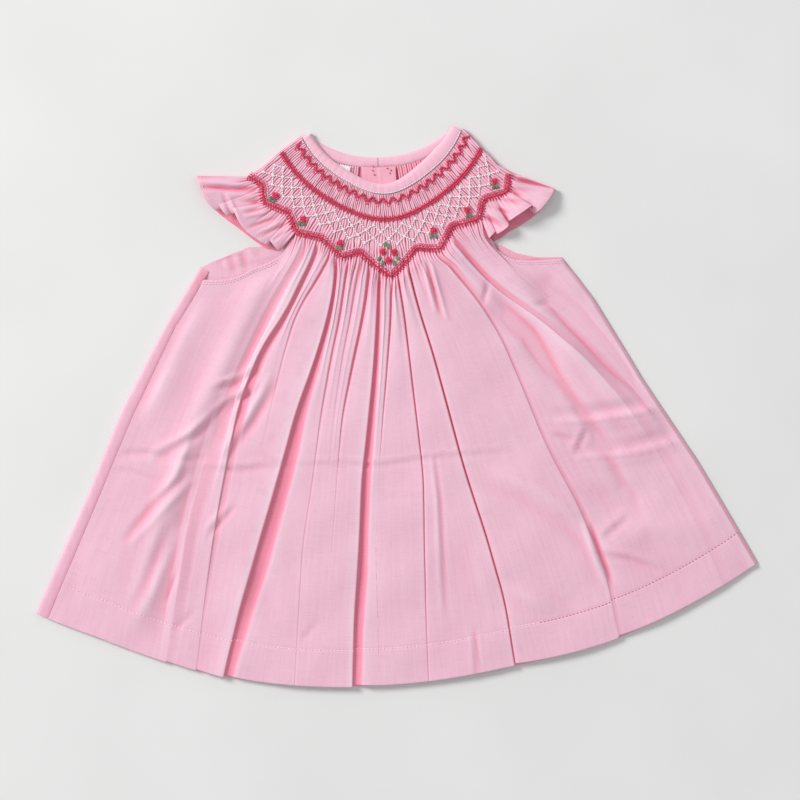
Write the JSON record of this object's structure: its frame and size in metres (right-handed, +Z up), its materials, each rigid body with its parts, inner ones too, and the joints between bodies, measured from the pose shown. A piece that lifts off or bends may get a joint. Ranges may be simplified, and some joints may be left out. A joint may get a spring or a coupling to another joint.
{
  "type": "smocked dress",
  "caption": "Baby's short-sleeved smocked dress laid flat on its back, with a pleated yoke, flutter sleeves, bound neck and a flared, folded skirt.",
  "frame": {"origin": "middle of the bounding box, on the surface that the dress lies on", "axes": "+X across the dress to the picture's right, +Y toward the neck, +Z up from the surface to the front of the dress"},
  "size_m": [0.5169, 0.3982, 0.0129],
  "materials": {
    "pink_cotton": "plain-weave cotton, softly satin",
    "binding_cotton": "folded bias strip of the same cotton",
    "label_white": "blank woven tape"
  },
  "bodies": {
    "root": {"front": "pink_cotton", "back_left": "pink_cotton", "back_right": "pink_cotton", "sleeve_left": "pink_cotton", "sleeve_right": "pink_cotton", "neck_binding": "binding_cotton", "back_placket": "pink_cotton", "neck_label": "label_white"}
  },
  "joints": []
}
